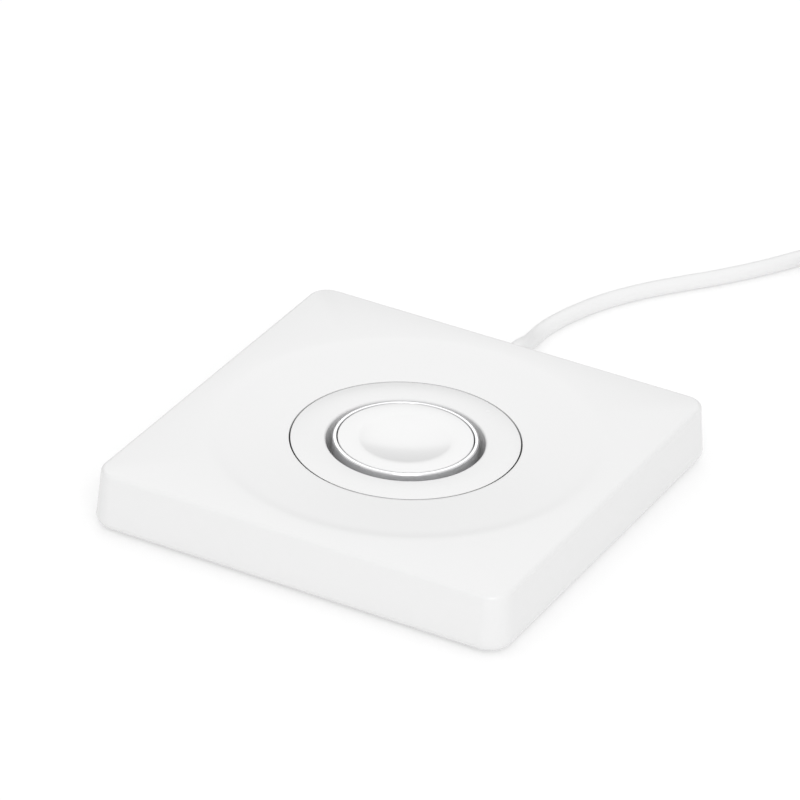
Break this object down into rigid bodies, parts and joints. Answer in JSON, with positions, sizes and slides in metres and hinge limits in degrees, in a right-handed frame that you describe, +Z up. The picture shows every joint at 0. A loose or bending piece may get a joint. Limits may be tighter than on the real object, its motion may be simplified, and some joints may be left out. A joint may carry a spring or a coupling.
{
  "type": "wireless charging pad",
  "caption": "Square white charging pad with a round flap that folds up and holds a magnetic charging puck for a watch, with its cord and plug.",
  "frame": {"origin": "middle of the square base, on the surface that it stands on", "axes": "+Z up, +Y towards the back, where the cord leaves, +X to the right"},
  "size_m": [0.1466, 0.1961, 0.0122],
  "materials": {
    "shell_white": "fine satin, moulded",
    "inner_white": "matt, moulded",
    "foot_silicone": "matt",
    "cap_white": "smooth satin",
    "puck_steel": "polished",
    "hinge_zinc": "satin, die cast",
    "bright_steel": "bright",
    "screw_steel": "satin",
    "ballast_steel": "plain, zinc plated",
    "board_green": "solder mask",
    "chip_black": "matt",
    "ferrite_grey": "matt",
    "capacitor_tan": "matt",
    "coil_copper": "enamelled wire",
    "magnet_nickel": "nickel plated",
    "cord_white": "smooth, satin",
    "plug_white": "smooth, satin",
    "plug_steel": "satin"
  },
  "bodies": {
    "base": {"top_housing": "shell_white", "bottom_cover": "inner_white", "well_tray": "inner_white", "foot_pad": "foot_silicone", "rest_bumper_left": "foot_silicone", "rest_bumper_right": "foot_silicone", "cord_tie": "foot_silicone", "hinge_ear_left": "hinge_zinc", "hinge_ear_right": "hinge_zinc", "hinge_pin": "bright_steel", "pin_clip": "bright_steel", "friction_washer_left": "bright_steel", "friction_washer_right": "bright_steel", "ballast_left": "ballast_steel", "ballast_right": "ballast_steel", "main_board": "board_green", "controller_chip": "chip_black", "power_inductor": "ferrite_grey", "capacitor_1": "capacitor_tan", "capacitor_2": "capacitor_tan", "lead_socket": "inner_white", "strain_relief": "cord_white", "cord_run": "cord_white", "cord_tail": "cord_white", "cord_coil": "cord_white", "plug_boot": "cord_white", "plug_body": "plug_white", "plug_tip": "plug_steel", "cover_screw_1": "screw_steel", "cover_screw_2": "screw_steel", "cover_screw_3": "screw_steel", "cover_screw_4": "screw_steel", "ear_screw_left": "screw_steel", "ear_screw_right": "screw_steel", "board_screw_left": "screw_steel", "board_screw_right": "screw_steel"},
    "flap": {"flap_plate": "shell_white", "flap_back_cover": "inner_white", "puck_shell": "puck_steel", "puck_cap": "cap_white", "charge_coil": "coil_copper", "ferrite_shield": "ferrite_grey", "puck_magnet": "magnet_nickel", "puck_board": "board_green", "hinge_arm": "hinge_zinc", "arm_screw_left": "screw_steel", "arm_screw_right": "screw_steel"}
  },
  "joints": [
    {"name": "flap_hinge", "type": "hinge", "parent": "base", "child": "flap", "pos_m": [0, -0.02475, 0.00839], "axis": [1, 0, 0], "range_deg": [0, 80]}
  ]
}
